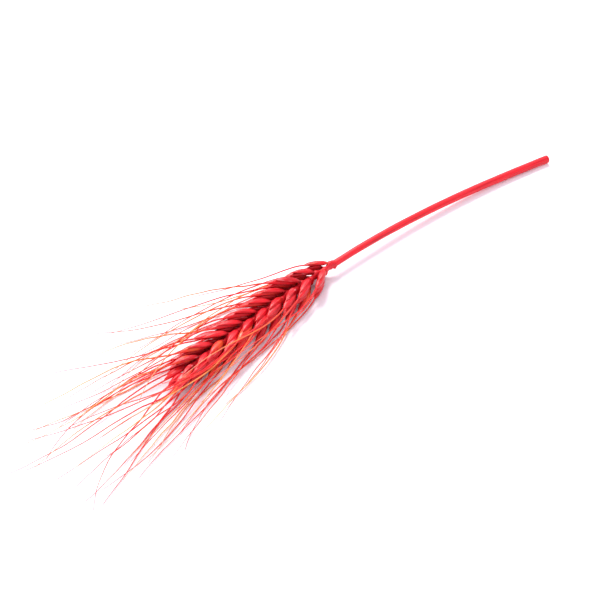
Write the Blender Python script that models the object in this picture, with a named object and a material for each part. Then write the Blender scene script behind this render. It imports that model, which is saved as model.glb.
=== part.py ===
"""A bearded wheat ear on its straw, cut and dried, lying on its side.

Metres, +Z up. The stalk runs along X with the ear's tip towards -X, and it lies on the surface z = 0.
Run with: blender --background --python part.py
"""

import math
import random
from collections import namedtuple

import bmesh
import bpy
from mathutils import Vector

# The straw, cut square at its far end
STEM_LENGTH = 0.100
STEM_RADIUS_CUT = 0.0015
STEM_RADIUS_NECK = 0.00125
STEM_CUT_HEIGHT = 0.0014
STEM_TURN = 2.3
STEM_SIDES = 10
STEM_RINGS = 14
JOINT_GAP = 0.0003

# The ear's axis, a zigzag with a spikelet at each node
NODES = 20
FIRST_NODE = 0.0022
NODE_PITCH = 0.0034
AXIS_HEIGHT = 0.0040
AXIS_TURN = 1.4
AXIS_ZIGZAG = 0.00045
AXIS_WIDTH = 0.0032
AXIS_DEPTH = 0.0044
AXIS_TAPER = 0.30
AXIS_SIDES = 8
COLLAR_RADIUS = 0.0018
COLLAR_PLACE = 0.0009

# The spikelets: how far each leans out from the axis, its roll about the ear, and how full it is
LEAN_FOOT = math.radians(28)
LEAN_TIP = math.radians(16)
LEAN_VARIES = math.radians(3)
ROLL_VARIES = math.radians(7)
ROOT_OUT = 0.00055
FOOT_FULLNESS = (0.78, 0.08)
TIP_FULLNESS = (0.74, 0.09)
TOP_FULLNESS = 0.80

# The husks of a spikelet: size, the root's place in it, and in degrees how far the husk fans out across it
# and its keel faces that way. The awn is the length of the bristle that the husk ends in.
HuskKind = namedtuple("HuskKind", "length width depth ahead aside outward fan face awn")
GLUME = HuskKind(0.0092, 0.0028, 0.0019, 0.0, 0.0014, 0.0, 17, 60, 0.0)
OUTER_FLORET = HuskKind(0.0110, 0.0031, 0.0027, 0.0014, 0.0010, 0.0003, 11, 44, 0.062)
INNER_FLORET = HuskKind(0.0098, 0.0030, 0.0026, 0.0032, 0.0003, -0.0002, 3, 0, 0.056)
SPIKELET = ((GLUME, -1), (GLUME, 1), (OUTER_FLORET, -1), (OUTER_FLORET, 1), (INNER_FLORET, 0))
SIZE_VARIES = 0.06
FAN_VARIES = 2.5
TILT_RANGE = (-2, 3)
FACE_VARIES = 8

# A husk's outline: places along it and the share of its full width there, then its bow and its keel
HUSK_SIDES = 6
HUSK_OUTLINE = ((0.0, 0.28), (0.18, 0.80), (0.45, 1.0), (0.78, 0.68), (1.0, 0.14))
HUSK_BOW = 0.10
HUSK_KEEL = 0.10
HUSK_FLAT = 0.16

# The awns: three-sided bristles that sweep from the husk's direction towards the ear's, clear of the surface
AWN_RADIUS_ROOT = 0.00034
AWN_RADIUS_TIP = 0.00018
AWN_SIDES = 3
AWN_SEGMENTS = 5
AWN_STRETCHES = (0.17, 0.42, 0.41)
AWN_SWAY = 0.16
AWN_VARIES = (0.82, 1.14)
AWN_SPREAD = (4, 21)
AWN_REACH_ABOVE = (-10, 190)
AWN_REACH_BELOW = (-35, 75)
AWN_REACH_INNER = (-110, 110)
AWN_CLEARANCE = 0.0006
AWN_SETTLE = 0.0012
AWN_SETTLE_SPEED = 5

SHARP_ANGLE = math.radians(40)
SEED = 7

# The small step along a line over which its direction is measured
PROBE = 0.0002

Husk = namedtuple("Husk", "foot along out size awn")


def stalk_point(s):
    """The stalk's middle, s metres from the ear's foot towards the tip. The straw has s below 0."""
    turn = AXIS_TURN if s > 0 else STEM_TURN
    t = min(1.0, max(0.0, 1 + s / STEM_LENGTH))
    height = STEM_CUT_HEIGHT + (AXIS_HEIGHT - STEM_CUT_HEIGHT) * t * t * (3 - 2 * t)
    return Vector((-s, -0.5 * turn * s * s, height))


def stalk_axes(s):
    """The directions along the stalk, to its side and up, at s."""
    along = (stalk_point(s + PROBE) - stalk_point(s - PROBE)).normalized()
    side = Vector((0, 0, 1)).cross(along).normalized()
    return along, side, along.cross(side)


def turned(first, second, angle):
    """The direction first, turned by angle towards second, which is square to it."""
    return (first * math.cos(angle) + second * math.sin(angle)).normalized()


def varied(rng, share):
    """A factor that differs from 1 by up to share."""
    return rng.uniform(1 - share, 1 + share)


def degrees(rng, low, high):
    """A random angle between two values in degrees."""
    return math.radians(rng.uniform(low, high))


def awn_path(rng, tip, start, heading, length):
    """The function for an awn's point at t from 0 to 1. It leaves along start and swings to heading."""
    sway = Vector((rng.uniform(-1, 1), rng.uniform(-1, 1), rng.uniform(-1, 1))) * AWN_SWAY
    first = tip + start * (length * AWN_STRETCHES[0])
    second = first + (heading + sway).normalized() * (length * AWN_STRETCHES[1])
    last = second + (heading - sway).normalized() * (length * AWN_STRETCHES[2])

    def point(t):
        u = 1 - t
        place = tip * u**3 + first * (3 * u * u * t) + second * (3 * u * t * t) + last * t**3
        above = (place.z - AWN_CLEARANCE) / AWN_SETTLE
        settled = AWN_CLEARANCE + AWN_SETTLE * math.log1p(math.exp(above))
        place.z += (settled - place.z) * min(1.0, AWN_SETTLE_SPEED * t)
        return place

    return point


def awn_of(rng, kind, sign, tip, direction, axes, scale):
    """The path of a husk's awn. One on the ear's upper side may cross over the ear."""
    ahead, outward, across = axes
    spread = degrees(rng, *AWN_SPREAD)
    outer_reach = AWN_REACH_ABOVE if sign * across.z > 0 else AWN_REACH_BELOW
    reach = degrees(rng, *(outer_reach if kind.face else AWN_REACH_INNER))
    heading = turned(ahead, turned(outward, across, sign * reach), spread)
    length = kind.awn * (1 + scale) / 2 * rng.uniform(*AWN_VARIES)
    return awn_path(rng, tip, direction, heading, length)


def spikelet_husks(rng, foot, axes, lean, scale):
    """The husks of one spikelet. axes are the ear's direction, the spikelet's outward side and its width."""
    ahead, outward, across = axes
    along = turned(ahead, outward, lean)
    out = turned(outward, ahead, -lean)
    husks = []
    for kind, sign in SPIKELET:
        sign = sign or rng.choice((-1, 1))
        size = [value * scale * varied(rng, SIZE_VARIES) for value in kind[:3]]
        fan = sign * math.radians(kind.fan) + degrees(rng, -FAN_VARIES, FAN_VARIES)
        direction = turned(turned(along, across, fan), out, degrees(rng, *TILT_RANGE))
        face = sign * math.radians(kind.face) + degrees(rng, -FACE_VARIES, FACE_VARIES)
        keel = turned(out, across, face)
        keel = (keel - direction * keel.dot(direction)).normalized()
        root = foot + (along * kind.ahead + across * (sign * kind.aside) + out * kind.outward) * scale
        tip = root + direction * size[0]
        awn = awn_of(rng, kind, sign, tip, direction, axes, scale) if kind.awn else None
        husks.append(Husk(root, direction, keel, size, awn))
    return husks


def ear_husks():
    """Every husk of the ear: a spikelet on each node, left and right in turn, and one at the tip."""
    rng = random.Random(SEED)
    husks = []
    for node in range(NODES):
        s = FIRST_NODE + node * NODE_PITCH
        ahead, side, up = stalk_axes(s)
        sign = 1 if node % 2 else -1
        outward = turned(side * sign, up, rng.uniform(-ROLL_VARIES, ROLL_VARIES))
        across = outward.cross(ahead)
        from_foot = FOOT_FULLNESS[0] + FOOT_FULLNESS[1] * node
        from_tip = TIP_FULLNESS[0] + TIP_FULLNESS[1] * (NODES - 1 - node)
        scale = min(1.0, from_foot, from_tip)
        lean = LEAN_FOOT + (LEAN_TIP - LEAN_FOOT) * node / NODES + rng.uniform(-LEAN_VARIES, LEAN_VARIES)
        foot = stalk_point(s) + outward * ROOT_OUT
        husks += spikelet_husks(rng, foot, (ahead, outward, across), lean, scale)
    s = FIRST_NODE + (NODES - 0.5) * NODE_PITCH
    ahead, _, up = stalk_axes(s)
    axes = (ahead, up, up.cross(ahead))
    return husks + spikelet_husks(rng, stalk_point(s), axes, 0.0, TOP_FULLNESS)


def new_object(name, make, collection):
    """A mesh object of what make adds to an empty bmesh, with its faces turned out."""
    bm = bmesh.new()
    make(bm)
    bmesh.ops.recalc_face_normals(bm, faces=bm.faces)
    mesh = bpy.data.meshes.new(name)
    bm.to_mesh(mesh)
    bm.free()
    obj = bpy.data.objects.new(name, mesh)
    collection.objects.link(obj)
    return obj


def ring(bm, centre, across, out, sides, start=0.0):
    """A ring of vertices. The lengths of across and out are its two radii."""
    angles = (start + math.tau * i / sides for i in range(sides))
    return [bm.verts.new(centre + across * math.cos(a) + out * math.sin(a)) for a in angles]


def join_halved(bm, lower, upper):
    """Faces from a ring to the next one, which has half as many vertices."""
    for i, here in enumerate(upper):
        after = upper[(i + 1) % len(upper)]
        first, middle, last = lower[2 * i], lower[2 * i + 1], lower[(2 * i + 2) % len(lower)]
        bm.faces.new((first, middle, here))
        bm.faces.new((middle, after, here))
        bm.faces.new((middle, last, after))


def join_rings(bm, rings):
    """A closed skin over rings of vertices, with a face across each end."""
    for lower, upper in zip(rings, rings[1:]):
        if len(upper) < len(lower):
            join_halved(bm, lower, upper)
            continue
        for i in range(len(lower)):
            j = (i + 1) % len(lower)
            bm.faces.new((lower[i], lower[j], upper[j], upper[i]))
    bm.faces.new(rings[0])
    bm.faces.new(rings[-1])


def husk_rings(bm, husk):
    """The rings of a boat-shaped husk, with a keel on its back and a flatter front."""
    length, width, depth = husk.size
    across = husk.out.cross(husk.along)
    rings = []
    for t, share in HUSK_OUTLINE:
        bow = husk.out * (HUSK_BOW * depth * math.sin(math.pi * t))
        centre = husk.foot + husk.along * (t * length) + bow
        radii = across * (width / 2 * share), husk.out * (depth / 2 * share)
        points = ring(bm, centre, *radii, HUSK_SIDES, math.pi / 2)
        points[0].co += husk.out * (HUSK_KEEL * depth * share)
        points[HUSK_SIDES // 2].co += husk.out * (HUSK_FLAT * depth * share)
        rings.append(points)
    return rings


def awn_rings(bm, husk):
    """The rings of the awn that a husk is drawn out into."""
    rings = []
    for step in range(1, AWN_SEGMENTS + 1):
        t = step / AWN_SEGMENTS
        place = husk.awn(t)
        ahead = (place - husk.awn(t - PROBE)).normalized()
        flat = husk.out.cross(ahead).normalized()
        radius = AWN_RADIUS_ROOT + (AWN_RADIUS_TIP - AWN_RADIUS_ROOT) * t
        rings.append(ring(bm, place, flat * radius, ahead.cross(flat) * radius, AWN_SIDES, math.pi / 2))
    return rings


def husk_maker(husk):
    """The function that adds a husk and its awn to a bmesh."""

    def make(bm):
        join_rings(bm, husk_rings(bm, husk) + (awn_rings(bm, husk) if husk.awn else []))

    return make


def ear_axis(bm):
    """The zigzag axis that the husks' roots are sunk in, with the collar at its foot."""
    stations = [
        (0.0, STEM_RADIUS_NECK, STEM_RADIUS_NECK, 0.0),
        (COLLAR_PLACE, COLLAR_RADIUS, COLLAR_RADIUS, 0.0),
    ]
    for node in range(NODES + 1):
        sign = 1 if node % 2 else -1
        size = 0.5 * (1 - AXIS_TAPER * node / NODES)
        place = FIRST_NODE + node * NODE_PITCH
        stations.append((place, AXIS_WIDTH * size, AXIS_DEPTH * size, sign * AXIS_ZIGZAG))
    rings = []
    for s, half_width, half_depth, shift in stations:
        _, side, up = stalk_axes(s)
        centre = stalk_point(s) + side * shift
        rings.append(ring(bm, centre, side * half_width, up * half_depth, AXIS_SIDES))
    join_rings(bm, rings)


def stem_tube(bm):
    """The straw: a gently curved, slightly tapered round stalk with a flat side down."""
    rings = []
    for step in range(STEM_RINGS):
        t = step / (STEM_RINGS - 1)
        s = -STEM_LENGTH + (STEM_LENGTH - JOINT_GAP) * t
        radius = STEM_RADIUS_CUT + (STEM_RADIUS_NECK - STEM_RADIUS_CUT) * t
        _, side, up = stalk_axes(s)
        start = math.pi / 2 + math.pi / STEM_SIDES
        rings.append(ring(bm, stalk_point(s), side * radius, up * radius, STEM_SIDES, start))
    join_rings(bm, rings)


def apply_modifiers(obj):
    """Replaces the object's mesh by what its modifiers make of it."""
    graph = bpy.context.evaluated_depsgraph_get()
    mesh = bpy.data.meshes.new_from_object(obj.evaluated_get(graph))
    obj.modifiers.clear()
    old = obj.data
    obj.data = mesh
    bpy.data.meshes.remove(old)


def islands(bm):
    """The connected bodies of the mesh, each a list of its faces."""
    left = set(bm.faces)
    while left:
        body = [left.pop()]
        for face in body:
            for other in (other for edge in face.edges for other in edge.link_faces):
                if other in left:
                    left.remove(other)
                    body.append(other)
        yield body


def signed_volume(triangles):
    """The volume inside a closed body of triangles, below 0 where it is a hollow."""
    return sum(t.verts[0].co.dot(t.verts[1].co.cross(t.verts[2].co)) for t in triangles) / 6


def keep_main_body(obj):
    """Drops loose scraps and fills sealed hollows, which a union leaves as bodies of their own."""
    bm = bmesh.new()
    bm.from_mesh(obj.data)
    bmesh.ops.triangulate(bm, faces=bm.faces)
    bodies = sorted(islands(bm), key=signed_volume, reverse=True)
    spare = [face for body in bodies[1:] for face in body]
    bmesh.ops.delete(bm, geom=spare, context="FACES")
    bm.to_mesh(obj.data)
    bm.free()


def fuse(obj, makers):
    """Joins the object and every made shape into one body with one Boolean union."""
    repeats = bpy.data.collections.new("repeats")
    bpy.context.scene.collection.children.link(repeats)
    for index, make in enumerate(makers):
        new_object(f"repeat_{index}", make, repeats)
    union = obj.modifiers.new("union", "BOOLEAN")
    union.operation = "UNION"
    union.operand_type = "COLLECTION"
    union.collection = repeats
    apply_modifiers(obj)
    for made in list(repeats.objects):
        bpy.data.objects.remove(made)
    bpy.data.collections.remove(repeats)
    keep_main_body(obj)


def block_below(bm):
    """A block whose top face is the surface that the ear lies on."""
    reach, thickness = 3 * STEM_LENGTH, 0.02
    made = bmesh.ops.create_cube(bm, size=1.0)["verts"]
    bmesh.ops.scale(bm, vec=(reach, reach, thickness), verts=made)
    bmesh.ops.translate(bm, vec=(0, 0, -thickness / 2), verts=made)


def trim_below(obj):
    """Cuts the object off flat at the surface that it lies on."""
    cutter = new_object("cutter", block_below, bpy.context.scene.collection)
    cutter.hide_render = True
    cutter.display_type = "WIRE"
    cut = obj.modifiers.new("flat", "BOOLEAN")
    cut.operation = "DIFFERENCE"
    cut.object = cutter
    apply_modifiers(obj)
    bpy.data.objects.remove(cutter)
    keep_main_body(obj)


def dye(obj, name, colour, roughness):
    """Gives the object its dyed material, shaded smooth between its sharp edges."""
    material = bpy.data.materials.new(name)
    material.use_nodes = True
    shader = material.node_tree.nodes["Principled BSDF"]
    shader.inputs["Base Color"].default_value = (*colour, 1)
    shader.inputs["Roughness"].default_value = roughness
    obj.data.materials.append(material)
    obj.data.shade_smooth()
    obj.data.set_sharp_from_angle(angle=SHARP_ANGLE)


def assemble(name, parts):
    """Parents the parts to an empty, placed so that their box is centred on the origin in X and Y."""
    whole = bpy.data.objects.new(name, None)
    bpy.context.scene.collection.objects.link(whole)
    for axis in (0, 1):
        places = [vertex.co[axis] for part in parts for vertex in part.data.vertices]
        whole.location[axis] = -(min(places) + max(places)) / 2
    for part in parts:
        part.parent = whole


def main():
    for obj in list(bpy.data.objects):
        bpy.data.objects.remove(obj)
    scene = bpy.context.scene.collection
    stem = new_object("stem", stem_tube, scene)
    trim_below(stem)
    dye(stem, "dyed_stem", (0.80, 0.035, 0.055), 0.45)
    ear = new_object("ear", ear_axis, scene)
    fuse(ear, [husk_maker(husk) for husk in ear_husks()])
    trim_below(ear)
    dye(ear, "dyed_ear", (0.80, 0.045, 0.05), 0.5)
    assemble("wheat_ear", (stem, ear))


main()
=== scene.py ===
"""The looks of the dyed wheat ear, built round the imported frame. Metres, +Z up, the ear's tip towards -X."""

import math
import random
from collections import namedtuple

import bpy
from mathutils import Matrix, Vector, noise


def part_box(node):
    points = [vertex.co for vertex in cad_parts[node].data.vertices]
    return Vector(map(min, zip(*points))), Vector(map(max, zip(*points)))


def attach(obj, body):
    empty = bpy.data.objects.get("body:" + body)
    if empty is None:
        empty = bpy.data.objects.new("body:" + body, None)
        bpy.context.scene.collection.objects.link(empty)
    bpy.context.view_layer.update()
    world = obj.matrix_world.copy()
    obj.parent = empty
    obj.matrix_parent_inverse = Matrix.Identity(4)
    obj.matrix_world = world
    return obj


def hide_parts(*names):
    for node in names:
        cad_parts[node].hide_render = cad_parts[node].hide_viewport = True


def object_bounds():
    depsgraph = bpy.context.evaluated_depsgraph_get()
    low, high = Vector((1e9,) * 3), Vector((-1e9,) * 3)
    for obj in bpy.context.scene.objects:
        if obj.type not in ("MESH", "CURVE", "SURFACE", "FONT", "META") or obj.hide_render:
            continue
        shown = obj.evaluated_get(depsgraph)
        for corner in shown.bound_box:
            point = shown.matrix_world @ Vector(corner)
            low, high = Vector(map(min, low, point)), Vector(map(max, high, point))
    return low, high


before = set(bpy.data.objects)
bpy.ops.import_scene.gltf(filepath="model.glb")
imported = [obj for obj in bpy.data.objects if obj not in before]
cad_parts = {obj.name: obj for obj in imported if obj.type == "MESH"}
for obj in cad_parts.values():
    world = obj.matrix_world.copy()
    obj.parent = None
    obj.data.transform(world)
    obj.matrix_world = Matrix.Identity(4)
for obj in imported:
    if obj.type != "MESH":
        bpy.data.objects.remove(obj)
cad_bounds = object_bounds()

# The straw, as the frame has it
STEM_LENGTH = 0.100
STEM_RADIUS_CUT = 0.0015
STEM_RADIUS_NECK = 0.00125
STEM_CUT_HEIGHT = 0.0014
STEM_TURN = 2.3
STEM_SIDES = 10

# The ear's axis and its spikelets, as the frame has them
NODES = 20
FIRST_NODE = 0.0022
NODE_PITCH = 0.0034
AXIS_HEIGHT = 0.0040
AXIS_TURN = 1.4
AXIS_ZIGZAG = 0.00045
AXIS_TAPER = 0.30
COLLAR_RADIUS = 0.0018
COLLAR_PLACE = 0.0009
LEAN_FOOT = math.radians(28)
LEAN_TIP = math.radians(16)
LEAN_VARIES = math.radians(3)
ROLL_VARIES = math.radians(7)
ROOT_OUT = 0.00055
FOOT_FULLNESS = (0.78, 0.08)
TIP_FULLNESS = (0.74, 0.09)
TOP_FULLNESS = 0.80

# The husks of a spikelet: size, the root's place in it, and in degrees how far the husk fans out across it
# and its keel faces that way. The awn is the length of the bristle that the husk ends in.
HuskKind = namedtuple("HuskKind", "length width depth ahead aside outward fan face awn")
GLUME = HuskKind(0.0092, 0.0028, 0.0019, 0.0, 0.0014, 0.0, 17, 60, 0.0)
OUTER_FLORET = HuskKind(0.0110, 0.0031, 0.0027, 0.0014, 0.0010, 0.0003, 11, 44, 0.062)
INNER_FLORET = HuskKind(0.0098, 0.0030, 0.0026, 0.0032, 0.0003, -0.0002, 3, 0, 0.056)
SPIKELET = ((GLUME, -1), (GLUME, 1), (OUTER_FLORET, -1), (OUTER_FLORET, 1), (INNER_FLORET, 0))
SIZE_VARIES = 0.06
FAN_VARIES = 2.5
TILT_RANGE = (-2, 3)
FACE_VARIES = 8
HUSK_OUTLINE = ((0.0, 0.28), (0.18, 0.80), (0.45, 1.0), (0.78, 0.68), (1.0, 0.14))
HUSK_BOW = 0.10
HUSK_KEEL = 0.20
HUSK_FLAT = 0.32

# The awns' sweep, as the frame has it
AWN_STRETCHES = (0.17, 0.42, 0.41)
AWN_SWAY = 0.16
AWN_VARIES = (0.82, 1.14)
AWN_SPREAD = (4, 21)
AWN_REACH_ABOVE = (-10, 190)
AWN_REACH_BELOW = (-35, 75)
AWN_REACH_INNER = (-110, 110)
AWN_CLEARANCE = 0.0006
AWN_SETTLE = 0.0012
AWN_SETTLE_SPEED = 5

LAYOUT_SEED = 7
DETAIL_SEED = 23

# The small step along a line over which its direction is measured
PROBE = 0.0002

# A husk's thin shell, and the most of the husk's half depth that its thickness may take up
SHELL_ARC_POINTS = 25
SHELL_RINGS = 26
SHELL_THICKNESS = 0.00014
MARGIN_THICKNESS = 0.00005
THICKEST_SHARE = 0.4

# How far round the shell goes on each side of its keel. A lemma closes towards its tip
GLUME_WRAP = math.radians(112)
LEMMA_WRAP = math.radians(128)
CLOSED_WRAP = math.radians(172)
CLOSING_START = 0.78
GLUME_VEINS = 5
LEMMA_VEINS = 7

# The glume's beak, which runs on past its outline
BEAK_START = 0.96
BEAK_REACH = 1.14
BEAK_NARROWING = 0.85

# The inner husk: its size beside the lemma's, and the stretch of the floret that it covers
PALEA_RINGS = 12
PALEA_SIDES = 14
PALEA_SHARE = 0.84
PALEA_START = 0.04
PALEA_REACH = 0.90
PALEA_FLAT = 0.25

# The relief of a husk
KEEL_BREADTH = 0.5
VEIN_HEIGHT = 0.000035
DENT_DEPTH = 0.00010
DENT_SCALE = (1.3, 3.0)
WRINKLE_DEPTH = 0.00004
WRINKLE_SCALE = (7.0, 2.0)
# Steps of the seed: from husk to husk, and from a husk's dents to its wrinkles
HUSK_SEED_STEP = 3.7
WRINKLE_SEED_STEP = 40

# How high above the surface the fine pieces are kept
SKIN_GAP = 0.00002
LINING_GAP = 0.00005
INNER_GAP = 0.0001

# The awns' thickness and finer bends
AWN_ROOT_RADIUS = 0.00029
AWN_TIP_RADIUS = 0.00008
AWN_TAPER = 1.3
AWN_STEPS = 34
AWN_START = 0.86
AWN_BEND = (0.0002, 0.0008)
AWN_BEND_TURNS = (0.5, 1.5)
AWN_RIPPLE = (0.00003, 0.00012)
AWN_RIPPLE_TURNS = (3.0, 6.0)
AWN_CURL = (0.0008, 0.0032)
AWN_CURL_STRONG = (0.0040, 0.0080)
AWN_CURLED_SHARE = 0.25
AWN_CURL_WAYS = ((-0.2, 1.0), (-1, 1), (-0.5, 0.5))
AWN_CURL_START = 0.55
AWN_PROBE = 0.01
AWN_FACETS = 5

# The barbs, which start some steps along the awn
BARB_LENGTH = 0.00030
BARB_PITCH = 0.0009
BARB_ANGLE = math.radians(24)
BARE_STEPS = 4
# In shares of the awn's radius: how far out a barb's foot is, half its width, and how far back it reaches
BARB_FOOT = (0.8, 0.35, 0.6)
BARB_POINT = 0.05

# The rachis from the straw to its collar: the place, and half its width and depth there
RACHIS_FOOT = (
    (-0.0002, STEM_RADIUS_NECK, STEM_RADIUS_NECK),
    (0.0003, 0.00150, 0.00148),
    (COLLAR_PLACE, COLLAR_RADIUS * 0.96, COLLAR_RADIUS * 0.94),
)
# A joint of the rachis: how far past its node, half its width and depth there, and its share of the zigzag
RACHIS_JOINT = (
    (-0.0008, 0.00125, 0.0017, 0.8),
    (-0.0003, 0.00140, 0.0018, 1.0),
    (0.0002, 0.00130, 0.0017, 1.0),
    (0.0008, 0.00095, 0.0014, 0.6),
    (0.0014, 0.00085, 0.0013, 0.0),
    (0.0020, 0.00095, 0.0014, -0.5),
)
RACHIS_SIDES = 36
RACHIS_RIDGES = 9
RACHIS_RIDGE_SHARE = 0.03
RACHIS_TONE = 0.35

# The straw's ribs, dents and radius beside the frame's, and how far it goes into the collar
STRAW_RIBS = 26
STRAW_RIB_HEIGHT = 0.00004
STRAW_RIB_VARIES = (0.6, 0.4)
STRAW_DENT = 0.00005
STRAW_DENT_SCALE = (1.1, 14)
STRAW_SHARE = 0.985
STRAW_OVERLAP = 0.0006
STRAW_STEPS = 120
STRAW_TONE = 0.5
# The cut end's rings from its hollow to its rim: the share of the straw's radius, and how deep
CUT_END = ((0.40, 0.0016), (0.50, 0.0009), (0.58, 0.0001), (0.72, 0.0), (0.90, 0.0))

# Colours as they look on screen, 0 to 255
CRIMSON = (160, 0, 18)
DEEP_RED = (198, 4, 24)
RED = (219, 9, 28)
BRIGHT_RED = (238, 18, 36)
LIGHT_RED = (249, 38, 50)
PINK = (255, 94, 98)
PALE_PINK = (255, 170, 174)
ORANGE_RED = (238, 54, 30)
ORANGE = (246, 110, 52)
STRAW_GOLD = (250, 170, 86)
PALE = (255, 206, 170)

SPECULAR = 0.45
FLOOR_REACH = 3.0

Husk = namedtuple("Husk", "kind foot along out size awn")


def stalk_point(s):
    """The stalk's middle, s metres from the ear's foot towards the tip. The straw has s below 0."""
    turn = AXIS_TURN if s > 0 else STEM_TURN
    t = min(1.0, max(0.0, 1 + s / STEM_LENGTH))
    height = STEM_CUT_HEIGHT + (AXIS_HEIGHT - STEM_CUT_HEIGHT) * t * t * (3 - 2 * t)
    return Vector((-s, -0.5 * turn * s * s, height))


def stalk_axes(s):
    """The directions along the stalk, to its side and up, at s."""
    along = (stalk_point(s + PROBE) - stalk_point(s - PROBE)).normalized()
    side = Vector((0, 0, 1)).cross(along).normalized()
    return along, side, along.cross(side)


def turned(first, second, angle):
    """The direction first, turned by angle towards second, which is square to it."""
    return (first * math.cos(angle) + second * math.sin(angle)).normalized()


def around(first, second, angle):
    """The offset at angle from first towards second, whose lengths are the two radii."""
    return first * math.cos(angle) + second * math.sin(angle)


def varied(rng, share):
    """A factor that differs from 1 by up to share."""
    return rng.uniform(1 - share, 1 + share)


def degrees(rng, low, high):
    """A random angle between two values in degrees."""
    return math.radians(rng.uniform(low, high))


def awn_path(rng, tip, start, heading, length):
    """The function for an awn's point at t from 0 to 1. It leaves along start and swings to heading."""
    sway = Vector((rng.uniform(-1, 1), rng.uniform(-1, 1), rng.uniform(-1, 1))) * AWN_SWAY
    first = tip + start * (length * AWN_STRETCHES[0])
    second = first + (heading + sway).normalized() * (length * AWN_STRETCHES[1])
    last = second + (heading - sway).normalized() * (length * AWN_STRETCHES[2])

    def point(t):
        u = 1 - t
        place = tip * u**3 + first * (3 * u * u * t) + second * (3 * u * t * t) + last * t**3
        above = (place.z - AWN_CLEARANCE) / AWN_SETTLE
        settled = AWN_CLEARANCE + AWN_SETTLE * math.log1p(math.exp(above))
        place.z += (settled - place.z) * min(1.0, AWN_SETTLE_SPEED * t)
        return place

    return point


def awn_of(rng, kind, sign, tip, direction, axes, scale):
    """The path of a husk's awn. One on the ear's upper side may cross over the ear."""
    ahead, outward, across = axes
    spread = degrees(rng, *AWN_SPREAD)
    outer_reach = AWN_REACH_ABOVE if sign * across.z > 0 else AWN_REACH_BELOW
    reach = degrees(rng, *(outer_reach if kind.face else AWN_REACH_INNER))
    heading = turned(ahead, turned(outward, across, sign * reach), spread)
    length = kind.awn * (1 + scale) / 2 * rng.uniform(*AWN_VARIES)
    return awn_path(rng, tip, direction, heading, length)


def spikelet_husks(rng, foot, axes, lean, scale):
    """The husks of one spikelet. axes are the ear's direction, the spikelet's outward side and its width."""
    ahead, outward, across = axes
    along = turned(ahead, outward, lean)
    out = turned(outward, ahead, -lean)
    husks = []
    for kind, sign in SPIKELET:
        sign = sign or rng.choice((-1, 1))
        size = [value * scale * varied(rng, SIZE_VARIES) for value in kind[:3]]
        fan = sign * math.radians(kind.fan) + degrees(rng, -FAN_VARIES, FAN_VARIES)
        direction = turned(turned(along, across, fan), out, degrees(rng, *TILT_RANGE))
        face = sign * math.radians(kind.face) + degrees(rng, -FACE_VARIES, FACE_VARIES)
        keel = turned(out, across, face)
        keel = (keel - direction * keel.dot(direction)).normalized()
        root = foot + (along * kind.ahead + across * (sign * kind.aside) + out * kind.outward) * scale
        tip = root + direction * size[0]
        awn = awn_of(rng, kind, sign, tip, direction, axes, scale) if kind.awn else None
        husks.append(Husk(kind, root, direction, keel, size, awn))
    return husks


def ear_husks():
    """Every husk of the ear: a spikelet on each node, left and right in turn, and one at the tip."""
    rng = random.Random(LAYOUT_SEED)
    husks = []
    for node in range(NODES):
        s = FIRST_NODE + node * NODE_PITCH
        ahead, side, up = stalk_axes(s)
        sign = 1 if node % 2 else -1
        outward = turned(side * sign, up, rng.uniform(-ROLL_VARIES, ROLL_VARIES))
        across = outward.cross(ahead)
        from_foot = FOOT_FULLNESS[0] + FOOT_FULLNESS[1] * node
        from_tip = TIP_FULLNESS[0] + TIP_FULLNESS[1] * (NODES - 1 - node)
        scale = min(1.0, from_foot, from_tip)
        lean = LEAN_FOOT + (LEAN_TIP - LEAN_FOOT) * node / NODES + rng.uniform(-LEAN_VARIES, LEAN_VARIES)
        foot = stalk_point(s) + outward * ROOT_OUT
        husks += spikelet_husks(rng, foot, (ahead, outward, across), lean, scale)
    s = FIRST_NODE + (NODES - 0.5) * NODE_PITCH
    ahead, _, up = stalk_axes(s)
    axes = (ahead, up, up.cross(ahead))
    return husks + spikelet_husks(rng, stalk_point(s), axes, 0.0, TOP_FULLNESS)


def frame_shift():
    """What moves the layout's coordinates to the frame's: the straw's cut end has to meet the frame's."""
    _, side, up = stalk_axes(-STEM_LENGTH)
    start = math.pi / 2 + math.pi / STEM_SIDES
    corners = []
    for i in range(STEM_SIDES):
        offset = around(side, up, start + math.tau * i / STEM_SIDES) * STEM_RADIUS_CUT
        corners.append(stalk_point(-STEM_LENGTH) + offset)
    low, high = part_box("stem")
    return Vector((high[0] - max(c.x for c in corners), low[1] - min(c.y for c in corners), 0))


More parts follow.
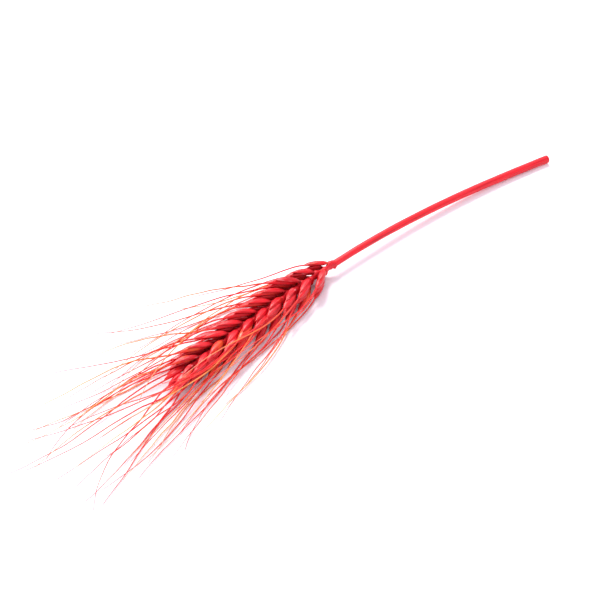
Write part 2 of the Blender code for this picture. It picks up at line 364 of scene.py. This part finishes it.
class Skin:
    """Gathers surfaces into the mesh of one piece, with a UV map and a tone of its own for each surface."""

    def __init__(self, shift):
        self.shift = shift
        self.points = []
        self.faces = []
        self.uvs = []
        self.tones = []

    def loft(self, rings, across, along, tone):
        """A closed skin over rings of points.

        across holds the U of each place in a ring and of the first again, and along holds each ring's V.
        """
        first = len(self.points)
        size = len(rings[0])
        for ring in rings:
            self.points += [point + self.shift for point in ring]
        self.tones += [tone] * (len(rings) * size)
        for row in range(len(rings) - 1):
            for i in range(size):
                j = (i + 1) % size
                low, high = first + row * size, first + (row + 1) * size
                self.faces.append((low + i, low + j, high + j, high + i))
                left, right = across[i], across[i + 1]
                self.uvs += [(left, along[row]), (right, along[row])]
                self.uvs += [(right, along[row + 1]), (left, along[row + 1])]
        last = first + (len(rings) - 1) * size
        self.faces += [tuple(range(first + size - 1, first - 1, -1)), tuple(range(last, last + size))]
        self.uvs += [(0.5, along[0])] * size + [(0.5, along[-1])] * size

    def piece(self, name, look, node, slot):
        """The finished piece, which rides on the part's one body and stands for a node of the frame."""
        mesh = bpy.data.meshes.new(name)
        mesh.from_pydata(self.points, [], self.faces)
        layer = mesh.uv_layers.new(name="husk")
        layer.uv.foreach_set("vector", [value for uv in self.uvs for value in uv])
        tones = mesh.attributes.new("tone", "FLOAT", "POINT")
        tones.data.foreach_set("value", self.tones)
        mesh.shade_smooth()
        mesh.materials.append(look)
        obj = bpy.data.objects.new(name, mesh)
        bpy.context.scene.collection.objects.link(obj)
        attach(obj, "root")
        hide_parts(node)
        return obj


def curve_through(stations, v):
    """A smooth value at v from (place, value) stations, by cubic pieces."""
    count = len(stations)
    i = max(k for k in range(count - 1) if stations[k][0] <= v or k == 0)

    def slope(k):
        (a, low), (b, high) = stations[max(0, k - 1)], stations[min(count - 1, k + 1)]
        return (high - low) / (b - a)

    (a, low), (b, high) = stations[i], stations[i + 1]
    t = (v - a) / (b - a)
    width = b - a
    return (
        low * (2 * t**3 - 3 * t * t + 1)
        + high * (3 * t * t - 2 * t**3)
        + slope(i) * width * (t**3 - 2 * t * t + t)
        + slope(i + 1) * width * (t**3 - t * t)
    )


def above_surface(point, clearance):
    """The point, kept on or above the surface that the ear lies on."""
    point.z = max(point.z, clearance)
    return point


def husk_centre(husk, v):
    """The middle of a husk's cross-section at v. It bows outward between root and tip."""
    length, _, depth = husk.size
    bow = husk.out * (HUSK_BOW * depth * math.sin(math.pi * min(1.0, v)))
    return husk.foot + husk.along * (v * length) + bow


def pattern(place, v, scale, seed):
    """Smooth noise of -1 to 1 at a place across and along a husk."""
    return noise.noise(Vector((place * scale[0], v * scale[1], seed)))


def shell_ring(husk, v, wrap, veins, seed):
    """One ring of a husk's thin shell: its outer side from margin to margin, then its inner side back."""
    _, width, depth = husk.size
    beak = max(0.0, (v - BEAK_START) / (BEAK_REACH - BEAK_START))
    share = curve_through(HUSK_OUTLINE, min(1.0, v)) * (1 - BEAK_NARROWING * beak)
    across = husk.out.cross(husk.along)
    centre = husk_centre(husk, v)
    half_width, half_depth = width / 2 * share, depth / 2 * share
    fade = math.sin(math.pi * min(1.0, v)) ** 0.5
    outer, inner = [], []
    for i in range(SHELL_ARC_POINTS):
        place = 2 * i / (SHELL_ARC_POINTS - 1) - 1
        angle = place * wrap
        keel = 1 + HUSK_KEEL * math.exp(-((angle / KEEL_BREADTH) ** 2))
        flat = 1 - HUSK_FLAT * max(0.0, -math.cos(angle))
        vein = VEIN_HEIGHT * math.cos(place * math.pi * veins) * fade
        dent = DENT_DEPTH * pattern(place, v, DENT_SCALE, seed) * fade
        wrinkle = WRINKLE_DEPTH * pattern(place, v, WRINKLE_SCALE, seed + WRINKLE_SEED_STEP) * fade
        relief = vein + dent + wrinkle
        thickness = SHELL_THICKNESS + (MARGIN_THICKNESS - SHELL_THICKNESS) * abs(place) ** 4
        thickness = min(thickness, THICKEST_SHARE * half_depth)
        direction = around(husk.out * (half_depth * keel * flat), across * half_width, angle)
        unit = direction.normalized()
        outer.append(above_surface(centre + direction + unit * relief, SKIN_GAP))
        inner.append(above_surface(centre + direction + unit * (relief - thickness), LINING_GAP))
    return outer + inner[::-1]


def add_shell(skin, husk, wrap, veins, tone, seed, reach=1.0):
    """A husk's shell, as thin as paper, with veins, dents and a keel."""
    places = [reach * step / (SHELL_RINGS - 1) for step in range(SHELL_RINGS)]
    rings = []
    for v in places:
        closing = max(0.0, (v - CLOSING_START) / (1 - CLOSING_START)) if husk.awn else 0.0
        rings.append(shell_ring(husk, v, wrap + (CLOSED_WRAP - wrap) * closing, veins, seed))
    outward = [i / (SHELL_ARC_POINTS - 1) for i in range(SHELL_ARC_POINTS)]
    skin.loft(rings, outward + outward[::-1] + [0.0], places, tone)


def add_palea(skin, husk, tone):
    """The smooth inner husk that closes a floret's open front."""
    _, width, depth = husk.size
    across = husk.out.cross(husk.along)
    rings, places = [], []
    for step in range(PALEA_RINGS):
        v = PALEA_START + PALEA_REACH * step / (PALEA_RINGS - 1)
        centre = husk_centre(husk, v)
        share = PALEA_SHARE * curve_through(HUSK_OUTLINE, v)
        ring = []
        for i in range(PALEA_SIDES):
            angle = math.tau * i / PALEA_SIDES
            flat = 1 - PALEA_FLAT * max(0.0, -math.cos(angle))
            offset = around(husk.out * (depth / 2 * flat), across * (width / 2), angle) * share
            ring.append(above_surface(centre + offset, INNER_GAP))
        rings.append(ring)
        places.append(v)
    skin.loft(rings, [i / PALEA_SIDES for i in range(PALEA_SIDES + 1)], places, tone)


def wave(rng, turns, height):
    """A wave's number of turns, height and phase, drawn from two ranges."""
    return rng.uniform(*turns), rng.uniform(*height), rng.uniform(0, math.tau)


def awn_points(husk, rng, shift):
    """The points along an awn: long bends, a faint ripple, and at the tip the curl of a dried one."""
    low, high = cad_bounds
    bends = [wave(rng, AWN_BEND_TURNS, AWN_BEND) for _ in range(2)]
    ripples = [wave(rng, AWN_RIPPLE_TURNS, AWN_RIPPLE) for _ in range(2)]
    strength = rng.uniform(*(AWN_CURL_STRONG if rng.random() < AWN_CURLED_SHARE else AWN_CURL))
    curl = Vector([rng.uniform(*ends) for ends in AWN_CURL_WAYS]) * strength
    if not low[1] < husk.awn(1).y + shift.y + curl.y < high[1]:
        curl.y = -curl.y
    points = []
    for step in range(AWN_STEPS + 1):
        t = step / AWN_STEPS
        place = husk.awn(t)
        after, before = husk.awn(min(1.0, t + AWN_PROBE)), husk.awn(max(0.0, t - AWN_PROBE))
        ahead = (after - before).normalized()
        side = Vector((0, 0, 1)).cross(ahead).normalized()
        for axis, waves in zip((side, ahead.cross(side)), zip(bends, ripples)):
            for turns, height, phase in waves:
                swing = math.sin(phase + math.tau * turns * t) - math.sin(phase)
                place += axis * (height * min(1.0, 3 * t) * swing)
        place += curl * max(0.0, (t - AWN_CURL_START) / (1 - AWN_CURL_START)) ** 2
        place.z = min(place.z, high[2] - AWN_ROOT_RADIUS)
        points.append(above_surface(place, AWN_ROOT_RADIUS))
    return points


def tube_rings(points, radii, facets):
    """Rings round a line of points, turned as little as possible from one to the next."""
    rings = []
    side = None
    for i, point in enumerate(points):
        ahead = (points[min(i + 1, len(points) - 1)] - points[max(i - 1, 0)]).normalized()
        if side is None:
            side = Vector((0, 0, 1)).cross(ahead).normalized()
        side = (side - ahead * side.dot(ahead)).normalized()
        up = ahead.cross(side)
        ring = []
        for k in range(facets):
            angle = math.tau * k / facets
            ring.append(point + around(side, up, angle) * radii[i])
        rings.append(ring)
    return rings


def awn_radius(t):
    """An awn's radius at t from 0 to 1: it keeps most of its thickness and tapers near its tip."""
    return AWN_ROOT_RADIUS + (AWN_TIP_RADIUS - AWN_ROOT_RADIUS) * t**AWN_TAPER


def add_awn(skin, points, tone):
    """A tapered bristle along its points."""
    count = len(points) - 1
    radii = [awn_radius(step / count) for step in range(count + 1)]
    rings = tube_rings(points, radii, AWN_FACETS)
    across = [i / AWN_FACETS for i in range(AWN_FACETS + 1)]
    skin.loft(rings, across, [step / count for step in range(count + 1)], tone)


def add_barbs(skin, points, rng, tone):
    """The tiny forward teeth that make an awn rough to the touch."""
    sink, half_width, heel = BARB_FOOT
    length = sum((b - a).length for a, b in zip(points, points[1:]))
    count = int(length / BARB_PITCH)
    for n in range(1, count):
        t = n / count
        at = t * (len(points) - 1)
        i = min(int(at), len(points) - 2)
        place = points[i].lerp(points[i + 1], at - i)
        ahead = (points[i + 1] - points[i]).normalized()
        side = Vector((0, 0, 1)).cross(ahead).normalized()
        away = turned(side, ahead.cross(side), rng.uniform(0, math.tau))
        radius = awn_radius(t)
        foot = place + away * radius * sink
        tip = above_surface(foot + turned(ahead, away, BARB_ANGLE) * BARB_LENGTH, INNER_GAP)
        width = ahead.cross(away) * radius * half_width
        corners = (foot - width, foot + width, foot - ahead * radius * heel)
        ring = [above_surface(corner, INNER_GAP) for corner in corners]
        end = [tip + (corner - foot) * BARB_POINT for corner in ring]
        skin.loft([ring, end], (0, 0.33, 0.66, 1), (t, t), tone)


def build_husks(skins, shift):
    """Glumes, lemmas, paleas, awns and barbs, each gathered into a piece."""
    rng = random.Random(DETAIL_SEED)
    for index, husk in enumerate(ear_husks()):
        tone = rng.random()
        seed = index * HUSK_SEED_STEP
        if husk.awn is None:
            add_shell(skins["ear_glumes"], husk, GLUME_WRAP, GLUME_VEINS, tone, seed, reach=BEAK_REACH)
            continue
        add_shell(skins["ear_lemmas"], husk, LEMMA_WRAP, LEMMA_VEINS, tone, seed)
        add_palea(skins["ear_paleas"], husk, rng.random())
        points = awn_points(husk, rng, shift)
        start = husk.foot + husk.along * (husk.size[0] * AWN_START)
        points = [start] + points
        add_awn(skins["ear_awns"], points, tone)
        add_barbs(skins["ear_barbs"], points[BARE_STEPS:], rng, tone)


def axis_stations():
    """Places along the rachis with its half width, half depth and how far it is set to the side there."""
    stations = [(*foot, 0.0) for foot in RACHIS_FOOT]
    for node in range(NODES):
        sign = 1 if node % 2 else -1
        size = 1 - AXIS_TAPER * node / NODES
        s = FIRST_NODE + node * NODE_PITCH
        for ahead, half_width, half_depth, share in RACHIS_JOINT:
            stations.append((s + ahead, half_width * size, half_depth * size, sign * share * AXIS_ZIGZAG))
    return stations


def build_axis(skin):
    """The rachis, whose joints widen towards each spikelet."""
    rings, places = [], []
    for s, half_width, half_depth, shift in axis_stations():
        _, side, up = stalk_axes(s)
        centre = stalk_point(s) + side * shift
        ring = []
        for i in range(RACHIS_SIDES):
            angle = math.tau * i / RACHIS_SIDES
            relief = 1 + RACHIS_RIDGE_SHARE * math.cos(RACHIS_RIDGES * angle)
            ring.append(centre + around(side * half_width, up * half_depth, angle) * relief)
        rings.append(ring)
        places.append(s / (NODES * NODE_PITCH))
    skin.loft(rings, [i / RACHIS_SIDES for i in range(RACHIS_SIDES + 1)], places, RACHIS_TONE)


def build_straw(skin):
    """The straw: fine ribs along it, slight flats and dents, and a square cut with a hollow."""
    sides = STRAW_RIBS * 4
    steady, varying = STRAW_RIB_VARIES
    round_scale, long_scale = STRAW_DENT_SCALE
    rings, places = [], []
    for step in range(STRAW_STEPS + 1):
        t = step / STRAW_STEPS
        s = -STEM_LENGTH + (STEM_LENGTH + STRAW_OVERLAP) * t
        radius = STEM_RADIUS_CUT + (STEM_RADIUS_NECK - STEM_RADIUS_CUT) * t
        _, side, up = stalk_axes(s)
        ring = []
        for i in range(sides):
            angle = math.tau * i / sides
            strength = steady + varying * noise.noise(Vector((angle, t * 6, 3)))
            rib = STRAW_RIB_HEIGHT * math.cos(STRAW_RIBS * angle) * strength
            x, y = math.cos(angle) * round_scale, math.sin(angle) * round_scale
            dent = STRAW_DENT * noise.noise(Vector((x, y, t * long_scale)))
            reach = radius * STRAW_SHARE + rib + dent
            ring.append(above_surface(stalk_point(s) + around(side, up, angle) * reach, SKIN_GAP))
        rings.append(ring)
        places.append(t)
    along = stalk_axes(-STEM_LENGTH)[0]
    middle = stalk_point(-STEM_LENGTH)
    hollow = []
    for share, depth in CUT_END:
        hollow.append([middle + (p - middle) * share + along * depth for p in rings[0]])
    along_straw = [0.0] * len(hollow) + places
    skin.loft(hollow + rings, [i / sides for i in range(sides + 1)], along_straw, STRAW_TONE)


def linear(colour):
    """A screen colour of 0 to 255 as the linear RGBA that shaders take."""
    channels = [value / 255 for value in colour]
    return tuple(c / 12.92 if c <= 0.04045 else ((c + 0.055) / 1.055) ** 2.4 for c in channels) + (1,)


class Look:
    """A Principled material whose nodes are added one at a time."""

    def __init__(self, name):
        self.material = bpy.data.materials.new(name)
        self.material.use_nodes = True
        self.tree = self.material.node_tree
        self.shader = self.tree.nodes["Principled BSDF"]
        self.output = self.tree.nodes["Material Output"]
        self.uv = self.add("UVMap", {"uv_map": "husk"}).outputs[0]
        parts = self.add("SeparateXYZ", {}, self.uv)
        self.across, self.along = parts.outputs[0], parts.outputs[1]
        self.tone = self.add("Attribute", {"attribute_name": "tone"}).outputs["Fac"]
        self.place = self.add("TexCoord").outputs["Object"]

    def put(self, socket, value):
        """Links value to the socket, or sets it there."""
        if isinstance(value, bpy.types.NodeSocket):
            self.tree.links.new(value, socket)
        else:
            socket.default_value = value

    def add(self, kind, settings=None, *values):
        """A node with these settings, fed with values in the order of its sockets."""
        node = self.tree.nodes.new("ShaderNode" + kind)
        for key, value in (settings or {}).items():
            setattr(node, key, value)
        for socket, value in zip(node.inputs, values):
            if value is not None:
                self.put(socket, value)
        return node

    def math(self, operation, *values):
        return self.add("Math", {"operation": operation}, *values).outputs[0]

    def blend(self, *parts):
        """The sum of (value, share) parts."""
        total = 0.0
        for value, share in parts:
            total = self.add("Math", {"operation": "MULTIPLY_ADD"}, value, share, total).outputs[0]
        return total

    def stretched(self, x, y, z=0.0):
        """Coordinates for a pattern that runs along a husk: U, V and the husk's own tone, each scaled."""
        pairs = ((self.across, x), (self.along, y), (self.tone, z))
        scaled = [self.math("MULTIPLY", *pair) for pair in pairs]
        return self.add("CombineXYZ", {}, *scaled).outputs[0]

    def noise(self, vector, detail=3.0):
        node = self.add("TexNoise")
        self.put(node.inputs["Vector"], vector)
        self.put(node.inputs["Scale"], 1.0)
        self.put(node.inputs["Detail"], detail)
        return node.outputs[0]

    def ramp(self, factor, *stops):
        """A colour from (place, screen colour) stops."""
        node = self.add("ValToRGB", {}, factor)
        marks = node.color_ramp.elements
        while len(marks) < len(stops):
            marks.new(0.5)
        for mark, (place, colour) in zip(marks, stops):
            mark.position = place
            mark.color = linear(colour)
        return node.outputs[0]

    def mix(self, factor, first, second, blend="MIX"):
        node = self.add("Mix", {"data_type": "RGBA", "blend_type": blend})
        self.put(node.inputs[0], factor)
        self.put(node.inputs[6], first)
        self.put(node.inputs[7], second)
        return node.outputs[2]

    def range(self, value, low, high, to_low=0.0, to_high=1.0):
        return self.add("MapRange", {}, value, low, high, to_low, to_high).outputs[0]

    def bump(self, height, strength, distance):
        node = self.add("Bump")
        self.put(node.inputs["Strength"], strength)
        self.put(node.inputs["Distance"], distance)
        self.put(node.inputs["Height"], height)
        return node.outputs["Normal"]

    def finish(self, colour, roughness, normal, translucency):
        """Wires the shader up, with light let through from behind."""
        self.put(self.shader.inputs["Base Color"], colour)
        self.put(self.shader.inputs["Roughness"], roughness)
        self.put(self.shader.inputs["Normal"], normal)
        self.put(self.shader.inputs["Specular IOR Level"], SPECULAR)
        through = self.add("BsdfTranslucent", {}, colour)
        self.put(through.inputs["Normal"], normal)
        blend = self.add("MixShader", {}, translucency, self.shader.outputs[0], through.outputs[0])
        self.put(self.output.inputs[0], blend.outputs[0])
        return self.material


def husk_look(name, pale_margin, translucency):
    """Dyed, papery husk: fine fibres, paler papery margins, a painted highlight along the keel, painted shade
    at the base, and on some a painted warm sheen or worn streaks that also stand as painted glints.
    """
    look = Look(name)
    fibres = look.noise(look.stretched(16.0, 1.2, 37.0))
    threads = look.noise(look.stretched(46.0, 2.0, 71.0), detail=2.0)
    patches = look.noise(look.stretched(2.2, 2.6, 53.0), detail=2.0)
    dye = look.blend((fibres, 0.36), (threads, 0.18), (patches, 0.46))
    dye = look.math("ADD", dye, look.range(look.tone, 0, 1, -0.08, 0.08))
    reds = ((0.24, CRIMSON), (0.36, DEEP_RED), (0.47, RED), (0.60, BRIGHT_RED), (0.74, LIGHT_RED))
    colour = look.ramp(dye, *reds)
    edge = look.math("ABSOLUTE", look.math("SUBTRACT", look.across, 0.5))
    # painted highlight: a narrow pink line down the middle of each husk, along its keel
    colour = look.mix(look.range(edge, 0.030, 0.0, 0.0, 0.40), colour, linear(PINK))
    colour = look.mix(look.range(edge, 0.40, 0.5, 0.0, pale_margin), colour, linear(PINK))
    # painted warm sheen: orange patches mixed into some husks
    warm_sheen = look.math("MULTIPLY", look.range(look.tone, 0.78, 0.90), look.range(patches, 0.42, 0.62))
    colour = look.mix(look.math("MULTIPLY", warm_sheen, 0.65), colour, linear(ORANGE))
    # pale pink streaks on some husks: partly worn, undyed fibres and partly painted glints
    worn_and_glint = look.math("MULTIPLY", look.range(look.tone, 0.40, 0.16), look.range(patches, 0.48, 0.62))
    worn_and_glint = look.math("MULTIPLY", worn_and_glint, look.range(fibres, 0.46, 0.60))
    colour = look.mix(look.math("MULTIPLY", worn_and_glint, 0.75), colour, linear(PALE_PINK))
    colour = look.mix(look.range(look.along, 0.75, 1.0, 0.0, 0.30), colour, linear(ORANGE_RED))
    # painted shade: deep crimson towards each husk's base, where it sits under the husks around it
    colour = look.mix(look.range(look.along, 0.30, 0.0, 0.0, 0.85), colour, linear(CRIMSON))
    roughness = look.range(fibres, 0.3, 0.7, 0.24, 0.46)
    relief = look.blend((fibres, 0.6), (threads, 0.4))
    return look.finish(colour, roughness, look.bump(relief, 0.55, 0.00014), translucency)


def awn_look():
    """Bristles: red where they leave the husk, orange to straw gold further on, each a little different."""
    look = Look("awn")
    red = look.ramp(look.along, (0.0, RED), (0.25, BRIGHT_RED), (0.7, ORANGE_RED), (1.0, LIGHT_RED))
    gold = look.ramp(look.along, (0.0, BRIGHT_RED), (0.15, ORANGE), (0.6, STRAW_GOLD), (1.0, PALE))
    streak = look.noise(look.stretched(2.0, 9.0, 61.0), detail=2.0)
    share = look.math("ADD", look.range(look.tone, 0.55, 0.95), look.range(streak, 0.55, 0.80, 0.0, 0.5))
    colour = look.mix(look.math("MINIMUM", share, 1.0), red, gold)
    return look.finish(colour, 0.36, look.bump(streak, 0.2, 0.00005), 0.10)


def palea_look():
    """The inner husk: thinner and more orange than the outer one."""
    look = Look("palea")
    fibres = look.noise(look.stretched(12.0, 2.0, 19.0))
    colour = look.ramp(fibres, (0.30, CRIMSON), (0.50, DEEP_RED), (0.70, ORANGE_RED))
    return look.finish(colour, 0.5, look.bump(fibres, 0.4, 0.0001), 0.2)


def axis_look():
    """The rachis, dyed red with short fibres."""
    look = Look("rachis")
    fibres = look.noise(look.stretched(14.0, 60.0))
    colour = look.ramp(fibres, (0.30, DEEP_RED), (0.55, RED), (0.75, BRIGHT_RED))
    return look.finish(colour, 0.5, look.bump(fibres, 0.4, 0.0001), 0.05)


def straw_look():
    """The straw: satin red, a little lighter and darker in long soft streaks."""
    look = Look("straw")
    streaks = look.noise(look.stretched(14.0, 2.2))
    patches = look.noise(look.stretched(2.0, 7.0), detail=2.0)
    dye = look.blend((streaks, 0.6), (patches, 0.4))
    reds = ((0.32, CRIMSON), (0.40, DEEP_RED), (0.48, RED), (0.58, BRIGHT_RED), (0.70, LIGHT_RED))
    colour = look.ramp(dye, *reds)
    roughness = look.range(streaks, 0.3, 0.7, 0.32, 0.46)
    return look.finish(colour, roughness, look.bump(streaks, 0.2, 0.00006), 0.04)


def floor_look():
    """The plain white surface."""
    material = bpy.data.materials.new("floor")
    material.use_nodes = True
    shader = material.node_tree.nodes["Principled BSDF"]
    shader.inputs["Base Color"].default_value = (0.94, 0.93, 0.95, 1)
    shader.inputs["Roughness"].default_value = 0.9
    shader.inputs["Specular IOR Level"].default_value = 0.1
    return material


def build_stage():
    """The floor, the soft lights, the world and the colour settings."""
    corners = [(x * FLOOR_REACH, y * FLOOR_REACH, 0) for x, y in ((-1, -1), (1, -1), (1, 1), (-1, 1))]
    mesh = bpy.data.meshes.new("floor")
    mesh.from_pydata(corners, [], [(0, 1, 2, 3)])
    mesh.materials.append(floor_look())
    floor = bpy.data.objects.new("floor", mesh)
    floor.location.z = -0.0001
    bpy.context.scene.collection.objects.link(floor)
    add_light("key", (0.35, 0.75, 0.95), size=0.55, power=20.0, colour=(1.0, 0.98, 0.96))
    add_light("fill", (-0.9, -0.3, 0.8), size=0.9, power=4.0, colour=(0.92, 0.94, 1.0))
    world = bpy.data.worlds.new("studio")
    bpy.context.scene.world = world
    world.use_nodes = True
    background = world.node_tree.nodes["Background"]
    background.inputs["Color"].default_value = (0.92, 0.89, 1.0, 1)
    background.inputs["Strength"].default_value = 0.92
    bpy.context.scene.view_settings.view_transform = "Standard"


def add_light(name, place, size, power, colour):
    """A soft area light that looks at the ear."""
    light = bpy.data.lights.new(name, "AREA")
    light.shape = "DISK"
    light.size = size
    light.energy = power
    light.color = colour
    obj = bpy.data.objects.new(name, light)
    obj.location = place
    obj.rotation_euler = Vector(place).to_track_quat("Z", "Y").to_euler()
    bpy.context.scene.collection.objects.link(obj)


def build_camera():
    """A camera that looks down on the ear from its tip's side, as the photograph does."""
    azimuth, elevation = math.radians(-42), math.radians(47)
    width_seen, lens, sensor = 0.206, 85.0, 36.0
    target = Vector((-0.002, -0.003, 0.004))
    level = Vector((math.sin(azimuth), -math.cos(azimuth), 0))
    back = turned(level, Vector((0, 0, 1)), elevation)
    data = bpy.data.cameras.new("camera")
    data.lens = lens
    data.sensor_width = sensor
    data.clip_start = 0.01
    camera = bpy.data.objects.new("camera", data)
    camera.location = target + back * (width_seen * lens / sensor)
    camera.rotation_euler = back.to_track_quat("Z", "Y").to_euler()
    bpy.context.scene.collection.objects.link(camera)
    bpy.context.scene.camera = camera


def main():
    shift = frame_shift()
    looks = {
        "ear_glumes": husk_look("glume", pale_margin=0.55, translucency=0.16),
        "ear_lemmas": husk_look("lemma", pale_margin=0.40, translucency=0.14),
        "ear_paleas": palea_look(),
        "ear_awns": awn_look(),
        "ear_rachis": axis_look(),
    }
    looks["ear_barbs"] = looks["ear_awns"]
    skins = {name: Skin(shift) for name in looks}
    build_husks(skins, shift)
    build_axis(skins["ear_rachis"])
    for name, skin in skins.items():
        skin.piece(name, looks[name], "ear", "dyed_ear")
    straw = Skin(shift)
    build_straw(straw)
    straw.piece("stem_straw", straw_look(), "stem", "dyed_stem")
    build_stage()
    build_camera()


main()
